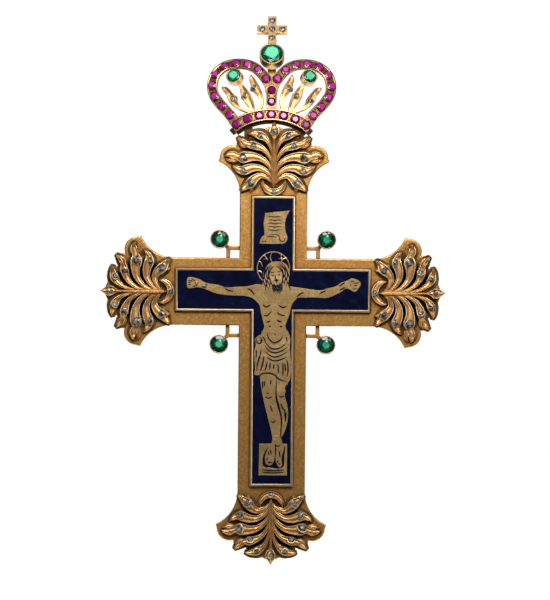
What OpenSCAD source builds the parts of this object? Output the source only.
// Jewelled enamel cross with a hinged crown.
// Front faces -Y, +Z is up, origin at the crossing of the arms on the back face.

/* [Cross] */
// Half of the width of an arm
arm_half = 8.1; // [7.9:0.05:8.3]
// Crossing to the tip of a side arm
side_reach = 40.9; // [40:0.1:42]
// Crossing to the tip of the upper arm, below the crown
top_reach = 40.4; // [40.2:0.1:40.6]
// Crossing to the tip of the lower arm
foot_reach = 65.0; // [64:0.1:67]
// Thickness of the hollow body
body_depth = 3.2; // [3.2:0.1:3.6]
// Thickness of the body's sheet and walls
sheet = 1.0; // [0.9:0.05:1]
// Thickness of the back plate
back_depth = 0.8; // [0.7:0.05:0.8]

/* [Plaque] */
// Half of the width of the enamel plaque
plaque_half = 5.15; // [5.1:0.05:5.3]
// Width of the plaque's gold rim
plaque_rim = 0.5; // [0.45:0.05:0.65]
// How far the plaque's side arms sit above the crossing
plaque_lift = 0.45; // [0:0.05:0.5]
// Crossing to the plaque's side, top and lower ends
plaque_reach = [23.4, 23.0, 46.6];
// Thickness of the plaque
plaque_depth = 1.0; // [0.9:0.05:1.2]
// Depth of the enamel in the plaque
enamel_depth = 0.4; // [0.3:0.05:0.5]

/* [Palmettes] */
// Root of the leaves to the tip
palmette_length = 15.0; // [14.8:0.1:15.2]
// Thickness of the leaves
leaf_depth = 1.5; // [1.2:0.1:1.8]
// How far the leaves stand out past the body's ends
leaf_shift = 0.5; // [0.45:0.05:0.6]

/* [Corner stones] */
// Crossing to a corner stone, sideways and upwards
corner_at = [12.85, 12.6];
// Radius of a corner stone
corner_r = 1.95; // [1.9:0.05:2.2]
// Width of the bars that carry the corner stones
bar_w = 0.95; // [0.8:0.05:1.1]

/* [Crown] */
// Radius of a ruby
ruby_r = 1.08; // [0.95:0.01:1.12]
// Half of the width of the ruby-set arches
arch_half = 1.28; // [1.24:0.02:1.34]
// Half of the width of the ruby-set band
band_half = 1.45; // [1.4:0.05:1.5]
// Thickness of the arches
crown_depth = 1.8; // [1.6:0.1:2]
// Thickness of the band
band_depth = 3.0; // [2.8:0.1:3.1]
// Radius of the crown's dome from band to top
dome_r = 38; // [37.5:0.1:38.5]
// Radius of the crown's bow from side to side
bow_r = 36; // [35:0.5:38]
// Sideways set of the crown on its hinge
crown_shift = -0.7; // [-1.2:0.1:1.2]
// Radius of the stone on top of the crown
top_stone_r = 2.6; // [2.4:0.05:2.7]
// Radius of the two stones inside the crown
side_stone_r = 1.6; // [1.4:0.05:1.65]

/* [Hinges] */
// Radius of the crown's hinge pin and of the bail's pin
pin_r = 0.4; // [0.35:0.01:0.42]
// Radial play of a knuckle on its pin
play = 0.04; // [0.03:0.01:0.06]
// Inside radius of the bail, which the chain runs through
bail_r = 1.8; // [1.7:0.05:1.85]
// Width of the bail
bail_w = 2.0; // [1.8:0.1:2]

/* [Hidden] */
$fn = 64;
NODES = ["cross_body", "back_plate", "back_screws", "plaque", "enamel", "plaque_rivets",
    "palmette_top", "palmette_right", "palmette_foot", "palmette_left",
    "leaf_stones_top", "leaf_stones_right", "leaf_stones_foot", "leaf_stones_left", "palmette_rivets",
    "corner_bracket_1", "corner_bracket_2", "corner_bracket_3", "corner_bracket_4",
    "corner_collet_1", "corner_collet_2", "corner_collet_3", "corner_collet_4",
    "corner_stone_1", "corner_stone_2", "corner_stone_3", "corner_stone_4",
    "crown_hinge_pin", "crown_band", "crown_arch_left", "crown_arch_right", "crown_stem",
    "band_rubies", "arch_rubies_left", "arch_rubies_right", "stem_rubies",
    "sprig_left", "sprig_right", "sprig_stones_left", "sprig_stones_right",
    "crown_collet_left", "crown_collet_right", "crown_stone_left", "crown_stone_right",
    "top_collet", "top_stone", "finial_cross", "finial_stones", "bail_pin", "bail"];
node = "all";

gap = 0.02;                       // between parts that are fitted together
front = -body_depth;              // the body's front face
root_at = [top_reach, side_reach, foot_reach, side_reach] - palmette_length * [1, 1, 1, 1];
end_turn = [0, 90, 180, 270];     // top, right, foot, left
corner_sign = [[-1, 1], [1, 1], [1, -1], [-1, -1]];

// Hinge between the cross and the crown: two knuckles in slots, on one pin
hinge_y = -1.15;
hinge_z = 35.3;
knuckle_r = 0.95;
knuckle_w = 2.0;
knuckle_x = 6.2;
strap_depth = 0.9;
strap_top = 40.9;
slot_w = 2.2;
slot_below = 1.1;                 // how far a slot reaches below the pin
slot_height = 6;
hinge_pin_length = 16.6;

// Crown, in its own frame above the upper arm
crown_z = 38.5;
dome_y = -4.5;                    // the dome's foremost point
dome_z = -4.1;                    // and its height
band_r = 15.4;                    // radius of the band's curve
band_z = 4.1;                     // height of its middle stone
band_turn = 10.8;                 // angle between two stones of the band
stem_z = [7.2, 10.0];

// Cubic curves of an arch's centre line, from the band's end stone to the crown's middle
ARCH = [[[8.25, 1.7], [10.6, 5.5], [14.3, 7.3], [14.3, 10.8]],
    [[14.3, 10.8], [14.3, 14.4], [11.5, 16.4], [8.1, 16.4]],
    [[8.1, 16.4], [4.8, 16.4], [3.0, 15.4], [0.5, 11.4]]];
ARCH_STONES = 10;                 // without the band's end stone

// Each lateral leaf: centre line from stem to tip, greatest half width, its stone's place and radius
LEAVES = [[[[0.2, 8.2], [0.8, 10.8], [2.4, 12.1], [5.7, 11.3]], 0.95, [3.4, 11.6], 0.7],
    [[[0.3, 5.6], [1.6, 8.6], [4.6, 8.6], [8.8, 10.9]], 1.15, [4.9, 9.1], 0.75],
    [[[0.4, 3.8], [2.4, 6.8], [6.0, 5.2], [12.2, 7.2]], 1.4, [7.4, 6.2], 1.05],
    [[[0.5, 2.4], [2.8, 4.2], [6.4, 1.8], [9.8, 4.1]], 1.15, [7.2, 3.0], 0.8],
    [[[0.6, 1.2], [3.2, 2.2], [6.0, 1.6], [6.6, -2.2]], 1.3, [5.4, 0.2], 0.9]];
TIP_STONE = [[0, 12.7], 0.75];
CRESCENT_STONE = [[0, -1.9], 0.6];

// Each sprig leaf: centre line, greatest half width, stone's place
SPRIG = [[[[4.2, 4.9], [6.6, 4.7], [9.6, 6.5], [11.9, 10.7]], 0.85, [9.5, 7.8]],
    [[[4.1, 4.9], [4.8, 6.7], [6.4, 8.5], [7.8, 11.9]], 0.95, [6.2, 8.65]],
    [[[4.0, 4.9], [2.4, 6.5], [2.8, 9.9], [5.1, 13.7]], 0.85, [3.95, 10.5]]];
sprig_root = [4.1, 5.4];
sprig_stone_r = 0.68;
sprig_depth = 1.1;
sprig_set_back = 0.2;             // behind the dome's front
sprig_seat = 0.6;
side_stone_at = [8.95, 13.2];
side_tilt = 23;
top_stone_at = [0, 18.5];
top_tilt = 32;
finial_z = 25.0;
finial_back = 3.5;                // behind the dome's front at the top stone
finial_tilt = 30;
finial_arm = 3.6;
finial_half = 1.0;
finial_depth = 1.2;
finial_leg = 2.2;                 // below the arms, down to the collet
finial_stone_r = 0.72;
finial_seat = 0.3;                // depth of a stone's seat
stone_lift = 0.9;                 // of a collet's mouth before the dome
side_wall = 0.3;
side_depth = 2.2;
top_wall = 0.35;
top_depth = 2.6;
far = 12;                         // longer than any part of the crown is deep

// Bail
bail_pin_y = 8.3;                 // far enough back for a wire to pass behind the arches
bail_pin_z = 18.9;
bail_wall = 0.7;
bail_knuckle_r = 0.8;
bail_drop = bail_knuckle_r + bail_r + bail_wall - 0.25;
bail_slack = 0.06;                // between the bail and each ear
ear_w = 0.6;
ear_r = 0.85;
ear_reach = 3.5;                  // from the pin forward into the collet

function lerp(a, b, t) = a + (b - a) * t;
function cubic(p, t) = pow(1 - t, 3) * p[0] + 3 * t * pow(1 - t, 2) * p[1]
    + 3 * t * t * (1 - t) * p[2] + pow(t, 3) * p[3];
function slope(p, t) = 3 * pow(1 - t, 2) * (p[1] - p[0]) + 6 * t * (1 - t) * (p[2] - p[1])
    + 3 * t * t * (p[3] - p[2]);
function side(p, t) = let (d = slope(p, t)) [-d[1], d[0]] / norm(d);

// Front surface of the crown's dome at a place in its elevation, and the way it faces
function dome_tilt(z) = asin((z - dome_z) / dome_r);
function dome_out(z) = bow_r - dome_r + dome_r * cos(dome_tilt(z));
function dome_turn(x, z) = asin(x / dome_out(z));
function dome_at(x, z) = dome_y + bow_r - dome_out(z) * cos(dome_turn(x, z));

// Places of the arch's stones, evenly spaced along its curves
ARCH_STEPS = 24;
arch_line = [for (s = [0:2]) for (i = [0:ARCH_STEPS - 1]) cubic(ARCH[s], i / ARCH_STEPS), ARCH[2][3]];
function run_to(i) = i == 0 ? 0 : run_to(i - 1) + norm(arch_line[i] - arch_line[i - 1]);
arch_run = [for (i = [0:len(arch_line) - 1]) run_to(i)];
function arch_point(d) = let (i = len([for (r = arch_run) if (r <= d) r]) - 1)
    i >= len(arch_line) - 1 ? arch_line[i]
    : lerp(arch_line[i], arch_line[i + 1], (d - arch_run[i]) / (arch_run[i + 1] - arch_run[i]));
arch_pitch = (arch_run[len(arch_run) - 1] - 1.6) / ARCH_STONES;
arch_stones = [for (k = [1:ARCH_STONES]) arch_point(k * arch_pitch)];
band_stones = [for (k = [-3:3])
    [band_r * sin(k * band_turn), band_z - band_r + band_r * cos(k * band_turn)]];

// Turns a flat shape drawn in the elevation (x, z) to face -Y, from y = back to y = back - depth
module upright(back, depth) {
    translate([0, back, 0]) rotate([90, 0, 0]) linear_extrude(depth) children();
}
// Puts children at the end of arm i, in the palmette's own plane: x across, y outwards from its root
module at_end(i) {
    rotate([0, end_turn[i], 0]) translate([0, 0, root_at[i]]) rotate([90, 0, 0]) children();
}
// Puts children on the crown, with z along the way that it faces
module on_crown(p, tilt) {
    translate([p[0], dome_at(p[0], p[1]), p[1]]) rotate([90 - tilt, 0, dome_turn(p[0], p[1])]) children();
}
module on_dome(p) { on_crown(p, dome_tilt(p[1])) children(); }
module both_sides() {
    children();
    mirror([1, 0, 0]) children();
}

// A cut stone: table, girdle and pavilion
module stone(r, lift) {
    translate([0, 0, lift]) rotate_extrude()
        polygon([[0, -0.7 * r], [r, 0], [r, 0.08 * r], [0.62 * r, 0.36 * r], [0, 0.36 * r]]);
}
// A flat-backed rose-cut stone
module rose(r) {
    rotate_extrude() polygon([[0, 0], [r, 0], [r, 0.1 * r], [0.5 * r, 0.45 * r], [0, 0.6 * r]]);
}
// A closed cup that holds a stone, its mouth at z = 0 and its floor behind
module collet(r, wall, depth) {
    difference() {
        translate([0, 0, -depth]) cylinder(r = r + wall, h = depth);
        translate([0, 0, -0.8 * r]) cylinder(r = r + gap, h = r);
    }
}
module collet_stone(r) { stone(r, -0.1 * r); }

// ---- Body ----

function arc(at, r, from, to, steps) = [for (i = [0:steps]) let (a = lerp(from, to, i / steps))
    at + r * [cos(a), sin(a)]];
function mirrored_back(points) = [for (i = [len(points) - 1:-1:0]) [-points[i][0], points[i][1]]];
function turned(p, a) = [p[0] * cos(a) + p[1] * sin(a), p[1] * cos(a) - p[0] * sin(a)];

// Right half of a flared and lobed end, from its tip to the straight part of the arm
flare_r = 8.6;
flare_at = [arm_half + flare_r, -2];
ear_x = 13.0;
half_end = concat(arc([3, 10.8], 3.1, 105, -5, 8), arc([7.7, 10], 1.35, 165, -15, 6),
    arc([ear_x - 3, 6.8], 3, 108, 0, 8), arc(flare_at, flare_r, 113.4, 180, 8));
end_points = concat(mirrored_back(half_end), [[0, 14.7]], half_end);
module body_outline() {
    polygon([for (i = [0:3]) each concat([for (p = end_points) turned(p + [0, root_at[i]], end_turn[i])],
        [arm_half * [corner_sign[(i + 1) % 4][0], corner_sign[(i + 1) % 4][1]]])]);
}
// The hollow inside the walls; the upper end stays solid above the hinge's floor
hinge_floor = 33.6;
function half_hollow(i, inset) = let (
    upper = i == 0,
    top = upper ? hinge_floor - root_at[0] - inset + sheet : 9.6 - inset,
    crest = upper ? [] : [[5.8 - inset, 13 - inset], [5.8 - inset, top]],
    x = ear_x - 0.2 - inset,
    r = flare_r + inset)
    concat(crest, [[x, top]], arc(flare_at, r, acos((x - flare_at[0]) / r), 180, 8));
module hollow_outline(inset) {
    polygon([for (i = [0:3]) let (half = half_hollow(i, inset), whole = concat(mirrored_back(half), half))
        each concat([for (p = whole) turned(p + [0, root_at[i]], end_turn[i])],
            [(arm_half - inset) * [corner_sign[(i + 1) % 4][0], corner_sign[(i + 1) % 4][1]]])]);
}
screw_at = 4.8;                   // along the palmette, from its root
plaque_pins = [[-18, 0], [18, 0], [0, 18], [0, -16], [0, -42]];
palmette_pins = [[-5.4, 0.2], [5.4, 0.2], [0, 7.3]];
screw_r = 0.6;
screw_head_r = 1.2;
screw_head = 0.5;
boss_r = 1.6;
rivet_r = 0.45;                   // of the palmettes
plaque_rivet_r = 0.5;
rivet_head = 0.3;
module hinge_slots() {
    both_sides() translate([knuckle_x - slot_w / 2, front + sheet, hinge_z - slot_below])
        cube([slot_w, body_depth, slot_height]);
}
module across(y, z, r, length) {
    translate([-length / 2, y, z]) rotate([0, 90, 0]) cylinder(r = r, h = length);
}

module cross_body() {
    color("goldenrod") difference() {
        upright(0, body_depth) body_outline();
        difference() {
            upright(0.1, body_depth - sheet + 0.1) hollow_outline(sheet);
            for (i = [0:3])
                at_end(i) translate([0, screw_at, back_depth]) cylinder(r = boss_r, h = body_depth);
        }
        for (i = [0:3]) at_end(i) translate([0, screw_at, 0]) cylinder(r = screw_r, h = 2.4);
        for (i = [0:3], p = palmette_pins)
            at_end(i) translate([p[0], p[1], 1.5]) cylinder(r = rivet_r, h = 3);
        for (p = plaque_pins) translate([p[0], front - 1, p[1]])
            rotate([-90, 0, 0]) cylinder(r = plaque_rivet_r, h = 3);
        hinge_slots();
        across(hinge_y, hinge_z, pin_r, hinge_pin_length + 0.4);
    }
}
module back_plate() {
    color("gold") difference() {
        upright(0, back_depth) hollow_outline(sheet + gap);
        for (i = [0:3]) at_end(i) translate([0, screw_at, 0]) {
            translate([0, 0, -1]) cylinder(r = screw_r + 0.1, h = 3);
            translate([0, 0, -0.5]) cylinder(r = screw_head_r + 0.1, h = 1);
        }
    }
}
module back_screws() {
    color("gold") for (i = [0:3]) at_end(i) translate([0, screw_at, 0]) difference() {
        union() {
            cylinder(r = screw_head_r, h = screw_head);
            cylinder(r = screw_r, h = 2.2);
        }
        translate([-1.5, -0.15, -0.1]) cube([3, 0.3, 0.35]);
    }
}

// ---- Enamel plaque ----

module plaque_outline(inset) {
    w = plaque_half - inset;
    translate([-w, -plaque_reach[2] + inset]) square([2 * w, plaque_reach[1] + plaque_reach[2] - 2 * inset]);
    translate([-plaque_reach[0] + inset, plaque_lift - w]) square([2 * (plaque_reach[0] - inset), 2 * w]);
}
// A limb along a cubic line, its half width going from w0 to w1
module limb(line, w0, w1) {
    ts = [for (i = [0:8]) i / 8];
    polygon(concat([for (t = ts) cubic(line, t) + side(line, t) * lerp(w0, w1, t)],
        [for (i = [8:-1:0]) cubic(line, ts[i]) - side(line, ts[i]) * lerp(w0, w1, ts[i])]));
}
// The gold left standing in the enamel: figure, halo, scroll and footrest
module reserved_gold() {
    translate([0.6, 0]) {
        both_sides() limb([[1.5, -0.4], [8, -0.2], [13.5, -1.4], [19.8, 2.3]], 1.4, 0.75);
        limb([[0.1, 0], [0.2, -4], [0, -6], [0, -10]], 3.6, 2.8);
        limb([[0, -9], [-0.2, -13], [-0.2, -17], [0, -21]], 3.0, 4.0);
        limb([[0, -20], [0.6, -25], [-0.2, -30], [0, -37]], 3.5, 1.7);
        limb([[0, -36], [-0.2, -37], [-0.4, -38.5], [-0.5, -41]], 1.7, 2.2);
        translate([0.3, 3.9]) circle(2.8);
    }
    difference() {
        translate([0.1, 5.4]) circle(4.05);
        translate([0.1, 5.4]) circle(3.75);
    }
    polygon([[-2.2, 18.2], [-1.7, 19.6], [3.4, 19.7], [2.4, 17.6], [2.9, 13], [2.2, 11.6], [-3.2, 11.6],
        [-2.6, 13.2], [-2.1, 13.4]]);
    translate([-2.7, -43.6]) square([6, 7]);
}
module plaque() {
    color("wheat") difference() {
        upright(front, plaque_depth) plaque_outline(0);
        upright(front - plaque_depth + enamel_depth, enamel_depth + 0.1) difference() {
            plaque_outline(plaque_rim);
            reserved_gold();
        }
    }
}
module enamel() {
    color("midnightblue") upright(front - plaque_depth + enamel_depth, enamel_depth) difference() {
        plaque_outline(plaque_rim);
        reserved_gold();
    }
}
module plaque_rivets() {
    color("gold") for (p = plaque_pins) translate([p[0], front, p[1]]) rotate([-90, 0, 0]) {
        cylinder(r = plaque_rivet_r - gap, h = sheet + rivet_head);
        translate([0, 0, sheet]) cylinder(r = 0.9, h = rivet_head);
    }
}

// ---- Palmettes ----

function leaf_width(w, t) = w * (0.3 + 0.7 * pow(sin(180 * pow(t, 1.25)), 1.2)) * sqrt(1 - pow(t, 6));
leaf_steps = 9;
module blade(line, w) {
    ts = [for (i = [0:leaf_steps]) i / leaf_steps];
    polygon(concat([for (t = ts) cubic(line, t) + side(line, t) * leaf_width(w, t)],
        [for (i = [leaf_steps - 1:-1:0]) let (t = ts[i])
            cubic(line, t) - side(line, t) * leaf_width(w, t)]));
}
leaf_stones = concat([for (l = LEAVES, s = [-1, 1]) [[s * l[2][0], l[2][1]], l[3]]],
    [TIP_STONE, CRESCENT_STONE]);
module crescent() {
    polygon(concat(arc([0, 0.25], 3.1, 172, 368, 14), arc([0, 1.8], 2.9, 356, 184, 12)));
}
module spine() {
    polygon([[0, -2.2], [1.6, 1.2], [1.4, 6], [0.9, 10.2], [-0.9, 10.2], [-1.4, 6], [-1.6, 1.2]]);
}
module tip_leaf() {
    polygon([[0.7, 10], [1.2, 12.2], [0.9, 13.6], [0, palmette_length], [-0.9, 13.6], [-1.2, 12.2],
        [-0.7, 10]]);
}
leaf_seat = 0.3;
module palmette() {
    color("darkgoldenrod") translate([0, leaf_shift, 0]) difference() {
        translate([0, 0, body_depth]) {
            both_sides() for (l = LEAVES) {
                linear_extrude(leaf_depth) blade(l[0], l[1]);
                translate(l[2]) cylinder(r = l[3] + 0.3, h = leaf_depth);
            }
            linear_extrude(leaf_depth) spine();
            linear_extrude(leaf_depth) tip_leaf();
            linear_extrude(leaf_depth) crescent();
        }
        for (s = leaf_stones) translate([s[0][0], s[0][1], body_depth + leaf_depth - leaf_seat])
            cylinder(r = s[1] + gap, h = 1);
    }
}
module leaf_stone_set() {
    color("lightgray") for (s = leaf_stones)
        translate([s[0][0], s[0][1] + leaf_shift, body_depth + leaf_depth - leaf_seat]) rose(s[1]);
}
module palmette_rivets() {
    color("gold") for (i = [0:3], p = palmette_pins) at_end(i) translate([p[0], p[1], 0]) {
        translate([0, 0, body_depth - sheet - rivet_head]) {
            cylinder(r = rivet_r - gap, h = sheet + rivet_head);
            cylinder(r = 0.8, h = rivet_head);
        }
    }
}

// ---- Corner stones ----

// Each bracket is two bars that close a small square in the corner of the cross
bar_at = [10.8, 10.5];
corner_front = 4.2;               // how far the collet's mouth stands before the back face
collet_wall = 0.3;
corner_depth = 3.1;
bar_depth = 1.1;
module at_corner(i) {
    mirror([corner_sign[i][0] < 0 ? 1 : 0, 0, 0]) mirror([0, 0, corner_sign[i][1] < 0 ? 1 : 0]) children();
}
module corner_collet_place(i) {
    at_corner(i) translate([corner_at[0], -corner_front, corner_at[1]]) rotate([90, 0, 0]) children();
}
module corner_bracket(i) {
    color("peru") difference() {
        at_corner(i) upright(-bar_depth, bar_depth) {
            translate([bar_at[0] - bar_w / 2, arm_half]) square([bar_w, bar_at[1] + bar_w / 2 - arm_half]);
            translate([arm_half, bar_at[1] - bar_w / 2]) square([bar_at[0] + bar_w / 2 - arm_half, bar_w]);
            translate(bar_at) rotate(45) translate([0, -bar_w / 2]) square([1.2, bar_w]);
        }
        corner_collet_place(i) translate([0, 0, -5]) cylinder(r = corner_r + collet_wall, h = 10);
    }
}
module corner_collet(i) {
    color("darkgoldenrod") corner_collet_place(i) collet(corner_r, collet_wall, corner_depth);
}
module corner_stone(i) { color("seagreen") corner_collet_place(i) collet_stone(corner_r); }

// ---- Crown ----

module dome_shell(inner, outer) {
    translate([0, dome_y + bow_r, 0]) rotate_extrude($fn = 128) intersection() {
        translate([bow_r - dome_r, dome_z]) difference() {
            circle(dome_r - inner);
            circle(dome_r - outer);
        }
        translate([12, -3]) square([26, 26]);
    }
}
// A flat shape in the crown's elevation, cut from the dome's metal
module crown_sheet(inner, outer) {
    intersection() {
        dome_shell(inner, outer);
        upright(1.5 * far, 2 * far) children();
    }
}
module at_crown() { translate([crown_shift, 0, crown_z]) children(); }
module mirrored(left) { mirror([left ? 1 : 0, 0, 0]) children(); }
module seats(places) {
    for (p = places) on_dome(p) translate([0, 0, -5]) cylinder(r = 0.86 * ruby_r, h = 7);
}
module rubies(places) {
    color("mediumvioletred") at_crown() for (p = places) on_dome(p) stone(ruby_r, 0.14 * ruby_r);
}

module band_outline() {
    a = 3 * band_turn + 5;
    translate([0, band_z - band_r]) intersection() {
        difference() {
            circle(band_r + band_half, $fn = 128);
            circle(band_r - band_half, $fn = 128);
        }
        polygon([[0, 0], 30 * [sin(-a), cos(a)], [0, 34], 30 * [sin(a), cos(a)]]);
    }
}
// One continuous arch, cut at the crown's middle and at the band
arch_steps = 9;
module arch_outline() {
    ts = [for (i = [0:arch_steps - 1]) i / arch_steps];
    outer = concat([for (l = ARCH) each [for (t = ts) cubic(l, t) - side(l, t) * arch_half]],
        [ARCH[2][3] - side(ARCH[2], 1) * arch_half]);
    inner = concat([for (l = ARCH) each [for (t = ts) cubic(l, t) + side(l, t) * arch_half]],
        [ARCH[2][3] + side(ARCH[2], 1) * arch_half]);
    difference() {
        polygon(concat(outer, [for (i = [len(inner) - 1:-1:0]) inner[i]]));
        band_outline();
        translate([-5, 0]) square([5, 30]);
    }
}
module stem_outline() {
    difference() {
        polygon([[-1.15, 4], [1.15, 4], [1.25, 8.9], [2.2, 12.5], [-2.2, 12.5], [-1.25, 8.9]]);
        band_outline();
        both_sides() arch_outline();
    }
}
module side_place() { on_crown(side_stone_at, side_tilt) children(); }
module top_place() { on_crown(top_stone_at, top_tilt) children(); }
module side_room() {
    side_place() translate([0, 0, -far / 2]) cylinder(r = side_stone_r + side_wall, h = far);
}
module top_room() {
    top_place() translate([0, 0, -far / 2]) cylinder(r = top_stone_r + top_wall, h = far);
}

module crown_band() {
    color("darkgoldenrod") {
        at_crown() difference() {
            crown_sheet(0, band_depth) band_outline();
            seats(band_stones);
        }
        both_sides() crown_strap();
    }
}
// A strap behind the band, with the knuckle that turns in a slot of the body
module crown_strap() {
    translate([knuckle_x, 0, 0]) difference() {
        union() {
            translate([-knuckle_w / 2, hinge_y - strap_depth, hinge_z])
                cube([knuckle_w, strap_depth, strap_top - hinge_z]);
            across(hinge_y, hinge_z, knuckle_r, knuckle_w);
        }
        across(hinge_y, hinge_z, pin_r + play, 2 * knuckle_w);
    }
}
module crown_arch(left) {
    color("darkgoldenrod") at_crown() mirrored(left) difference() {
        crown_sheet(0, crown_depth) arch_outline();
        seats(arch_stones);
        top_room();
    }
}
module crown_stem() {
    color("darkgoldenrod") at_crown() difference() {
        crown_sheet(0, crown_depth) stem_outline();
        seats([for (z = stem_z) [0, z]]);
    }
}
module sprig_sheet() { crown_sheet(sprig_set_back, sprig_set_back + sprig_depth) children(); }
module sprig(left) {
    color("goldenrod") at_crown() mirrored(left) difference() {
        union() {
            for (l = SPRIG) {
                sprig_sheet() blade(l[0], l[1]);
                sprig_sheet() translate(l[2]) circle(sprig_stone_r + 0.25);
            }
            sprig_sheet() translate(sprig_root) circle(1);
        }
        crown_sheet(-1, band_depth + 1) band_outline();
        for (l = SPRIG)
            on_dome(l[2]) translate([0, 0, -sprig_seat]) cylinder(r = sprig_stone_r + gap, h = 3);
        side_room();
    }
}
module sprig_stones(left) {
    color("lightgray") at_crown() mirrored(left) for (l = SPRIG)
        on_dome(l[2]) translate([0, 0, -sprig_seat]) rose(sprig_stone_r);
}
module side_collet(left) {
    color("darkgoldenrod") at_crown() mirrored(left) side_place()
        translate([0, 0, stone_lift]) collet(side_stone_r, side_wall, side_depth);
}
module side_stone(left) {
    color("mediumseagreen") at_crown() mirrored(left) side_place()
        translate([0, 0, stone_lift]) collet_stone(side_stone_r);
}
module top_collet() {
    color("darkgoldenrod") at_crown() difference() {
        union() {
            top_place() translate([0, 0, stone_lift]) collet(top_stone_r, top_wall, top_depth);
            bail_ears();
        }
        across(bail_pin_y, bail_pin_z, pin_r, 8);
        bail_room();
    }
}
module top_stone() {
    color("mediumseagreen") at_crown() top_place() translate([0, 0, stone_lift]) collet_stone(top_stone_r);
}
module finial_place() {
    translate([0, dome_at(0, top_stone_at[1]) + finial_back, finial_z])
        rotate([90 - finial_tilt, 0, 0]) children();
}
finial_stone_at = [[0, 0], [2.45, 0], [-2.45, 0], [0, 2.45], [0, -2.45]];
module finial_cross() {
    color("darkgoldenrod") at_crown() difference() {
        finial_place() translate([0, 0, -finial_depth]) linear_extrude(finial_depth) {
            square([2 * finial_arm, 2 * finial_half], center = true);
            translate([-finial_half, -finial_arm - finial_leg])
                square([2 * finial_half, 2 * finial_arm + finial_leg]);
        }
        finial_place() for (p = finial_stone_at) translate([p[0], p[1], -finial_seat])
            cylinder(r = finial_stone_r + gap, h = 1);
        top_room();
    }
}
module finial_stones() {
    color("lightgray") at_crown() finial_place() for (p = finial_stone_at)
        translate([p[0], p[1], -finial_seat]) rose(finial_stone_r);
}

// ---- Bail ----

module bail_ears() {
    both_sides() translate([bail_w / 2 + bail_slack, bail_pin_y, bail_pin_z])
        rotate([90, 0, 90]) linear_extrude(ear_w) {
            circle(ear_r);
            translate([-ear_reach, -ear_r]) square([ear_reach, 2 * ear_r]);
        }
}
module bail_room() { across(bail_pin_y, bail_pin_z, bail_knuckle_r + 0.3, bail_w + 2 * bail_slack); }
module bail() {
    color("goldenrod") at_crown() difference() {
        union() {
            across(bail_pin_y, bail_pin_z - bail_drop, bail_r + bail_wall, bail_w);
            across(bail_pin_y, bail_pin_z, bail_knuckle_r, bail_w);
        }
        across(bail_pin_y, bail_pin_z - bail_drop, bail_r, bail_w + 2);
        across(bail_pin_y, bail_pin_z, pin_r + play, bail_w + 2);
    }
}
module bail_pin() {
    color("gold") at_crown() across(bail_pin_y, bail_pin_z, pin_r, bail_w + 2 * bail_slack + 2 * ear_w);
}
module crown_hinge_pin() { color("gold") across(hinge_y, hinge_z, pin_r, hinge_pin_length); }

// ---- The parts ----

END_NAMES = ["top", "right", "foot", "left"];
SIDES = [["left", true], ["right", false]];
function wants(name) = node == "all" || node == name;
function flipped(places, left) = [for (p = places) [left ? -p[0] : p[0], p[1]]];

if (wants("cross_body")) cross_body();
if (wants("back_plate")) back_plate();
if (wants("back_screws")) back_screws();
if (wants("plaque")) plaque();
if (wants("enamel")) enamel();
if (wants("plaque_rivets")) plaque_rivets();
if (wants("palmette_rivets")) palmette_rivets();
if (wants("crown_hinge_pin")) crown_hinge_pin();
for (i = [0:3]) {
    if (wants(str("palmette_", END_NAMES[i]))) at_end(i) palmette();
    if (wants(str("leaf_stones_", END_NAMES[i]))) at_end(i) leaf_stone_set();
    if (wants(str("corner_bracket_", i + 1))) corner_bracket(i);
    if (wants(str("corner_collet_", i + 1))) corner_collet(i);
    if (wants(str("corner_stone_", i + 1))) corner_stone(i);
}
if (wants("crown_band")) crown_band();
if (wants("crown_stem")) crown_stem();
if (wants("band_rubies")) rubies(band_stones);
if (wants("stem_rubies")) rubies([for (z = stem_z) [0, z]]);
for (s = SIDES) {
    if (wants(str("crown_arch_", s[0]))) crown_arch(s[1]);
    if (wants(str("arch_rubies_", s[0]))) rubies(flipped(arch_stones, s[1]));
    if (wants(str("sprig_", s[0]))) sprig(s[1]);
    if (wants(str("sprig_stones_", s[0]))) sprig_stones(s[1]);
    if (wants(str("crown_collet_", s[0]))) side_collet(s[1]);
    if (wants(str("crown_stone_", s[0]))) side_stone(s[1]);
}
if (wants("top_collet")) top_collet();
if (wants("top_stone")) top_stone();
if (wants("finial_cross")) finial_cross();
if (wants("finial_stones")) finial_stones();
if (wants("bail_pin")) bail_pin();
if (wants("bail")) bail();
